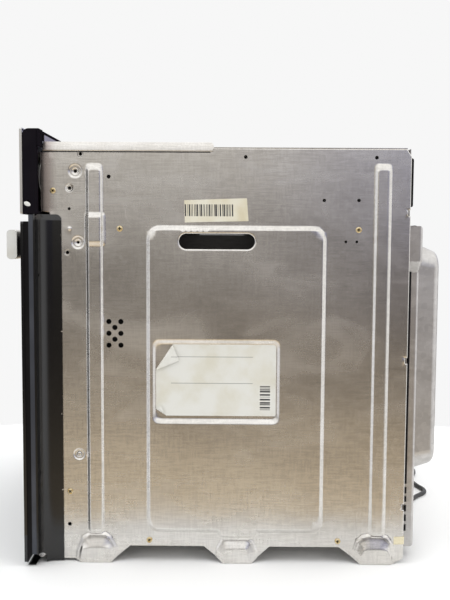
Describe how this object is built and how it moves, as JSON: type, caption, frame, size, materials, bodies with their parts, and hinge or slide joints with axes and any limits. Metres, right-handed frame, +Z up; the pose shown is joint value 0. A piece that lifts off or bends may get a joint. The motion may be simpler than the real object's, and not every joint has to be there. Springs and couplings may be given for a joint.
{
  "type": "wall oven",
  "caption": "Built-in wall oven out of its cabinet: galvanised casing with pressed sides, black flared front frame, drop-down glass door, stainless fascia and mains lead.",
  "frame": {"origin": "under the middle of the oven, on the plane of its feet", "axes": "+Z up, -Y towards the user in front of the door, +X to the right of a person who faces the door"},
  "size_m": [0.595, 0.6786, 0.595],
  "materials": {
    "galvanised": "galvanised sheet, satin",
    "black_enamel": "gloss enamel",
    "muffle_enamel": "speckled enamel",
    "stainless": "fine brushed",
    "black_plastic": "matt",
    "door_frame_grey": "satin",
    "door_glass": "dark printed glass",
    "clear_glass": "clear",
    "window": "smoked",
    "bright_steel": "bright",
    "element": "dull oxide",
    "wool": "dark-faced mineral wool",
    "seal": "silicone",
    "brass_screw": "passivated",
    "motor": "laminated steel",
    "amber_lens": "clear amber",
    "cord_black": "matt",
    "white_plastic": "gloss"
  },
  "bodies": {
    "casing": {"side_panel_right": "galvanised", "side_panel_left": "galvanised", "top_cover_front": "galvanised", "top_cover_rear": "galvanised", "base_plate": "galvanised", "rear_panel": "galvanised", "back_cover": "galvanised", "rear_air_baffle": "black_plastic", "front_frame": "black_enamel", "door_gasket": "seal", "cavity_muffle": "muffle_enamel", "cavity_insulation": "wool", "grill_element": "element", "base_element": "element", "ring_element": "element", "fan_baffle": "muffle_enamel", "fan_motor": "motor", "lamp_holder": "bright_steel", "lamp_bulb": "clear_glass", "lamp_glass": "clear_glass", "thermostat_probe": "bright_steel", "shelf_rails": "bright_steel", "hinge_brackets": "galvanised", "hinge_pins": "bright_steel", "hinge_springs": "bright_steel", "fascia_front": "stainless", "fascia_carrier": "black_plastic", "control_bracket": "galvanised", "clock_module": "black_plastic", "clock_window": "window", "pilot_lamps": "amber_lens", "cooling_fan_housing": "galvanised", "cooling_fan_motor": "motor", "air_duct": "galvanised", "terminal_block": "white_plastic", "safety_cutout": "bright_steel", "cord_gland": "black_plastic", "mains_cord": "cord_black", "cord_coil": "cord_black", "mains_plug": "cord_black", "panel_screws": "brass_screw", "function_switch": "white_plastic", "thermostat": "white_plastic"},
    "door": {"door_glass_outer": "door_glass", "door_spacer_frame": "black_plastic", "door_inner_frame": "door_frame_grey", "door_glass_inner": "clear_glass", "door_bottom_trim": "black_enamel", "door_handle": "stainless", "handle_mounts": "black_plastic", "hinge_arms": "bright_steel"},
    "function_spindle": {"function_spindle": "bright_steel"},
    "function_knob": {"function_knob": "stainless"},
    "temperature_spindle": {"temperature_spindle": "bright_steel"},
    "temperature_knob": {"temperature_knob": "stainless"},
    "clock_button_left": {"clock_button_left": "black_plastic"},
    "clock_button_middle": {"clock_button_middle": "black_plastic"},
    "clock_button_right": {"clock_button_right": "black_plastic"},
    "convection_fan": {"convection_fan": "bright_steel"},
    "cooling_rotor": {"cooling_rotor": "bright_steel"}
  },
  "joints": [
    {"name": "door_hinge", "type": "hinge", "parent": "casing", "child": "door", "pos_m": [0, -0.253, 0.008], "axis": [1, 0, 0], "range_deg": [0, 90], "stiffness_Nm_per_rad": 5, "springref_deg": -28.65},
    {"name": "function_turn", "type": "hinge", "parent": "casing", "child": "function_spindle", "pos_m": [-0.17, -0.245, 0.538], "axis": [0, 1, 0], "range_deg": [0, 315]},
    {"name": "function_pull", "type": "slide", "parent": "function_spindle", "child": "function_knob", "axis": [0, -1, 0], "range_m": [0, 0.015]},
    {"name": "temperature_turn", "type": "hinge", "parent": "casing", "child": "temperature_spindle", "pos_m": [0.17, -0.245, 0.538], "axis": [0, 1, 0], "range_deg": [0, 270]},
    {"name": "temperature_pull", "type": "slide", "parent": "temperature_spindle", "child": "temperature_knob", "axis": [0, -1, 0], "range_m": [0, 0.015]},
    {"name": "convection_spin", "type": "hinge", "parent": "casing", "child": "convection_fan", "pos_m": [0, 0.2, 0.249], "axis": [0, 1, 0], "continuous": true},
    {"name": "cooling_spin", "type": "hinge", "parent": "casing", "child": "cooling_rotor", "pos_m": [0, 0.11, 0.514], "axis": [1, 0, 0], "continuous": true},
    {"name": "clock_button_left_press", "type": "slide", "parent": "casing", "child": "clock_button_left", "axis": [0, 1, 0], "range_m": [0, 0.0015], "stiffness_N_per_m": 400, "springref_m": -0.0005},
    {"name": "clock_button_middle_press", "type": "slide", "parent": "casing", "child": "clock_button_middle", "axis": [0, 1, 0], "range_m": [0, 0.0015], "stiffness_N_per_m": 400, "springref_m": -0.0005},
    {"name": "clock_button_right_press", "type": "slide", "parent": "casing", "child": "clock_button_right", "axis": [0, 1, 0], "range_m": [0, 0.0015], "stiffness_N_per_m": 400, "springref_m": -0.0005}
  ]
}
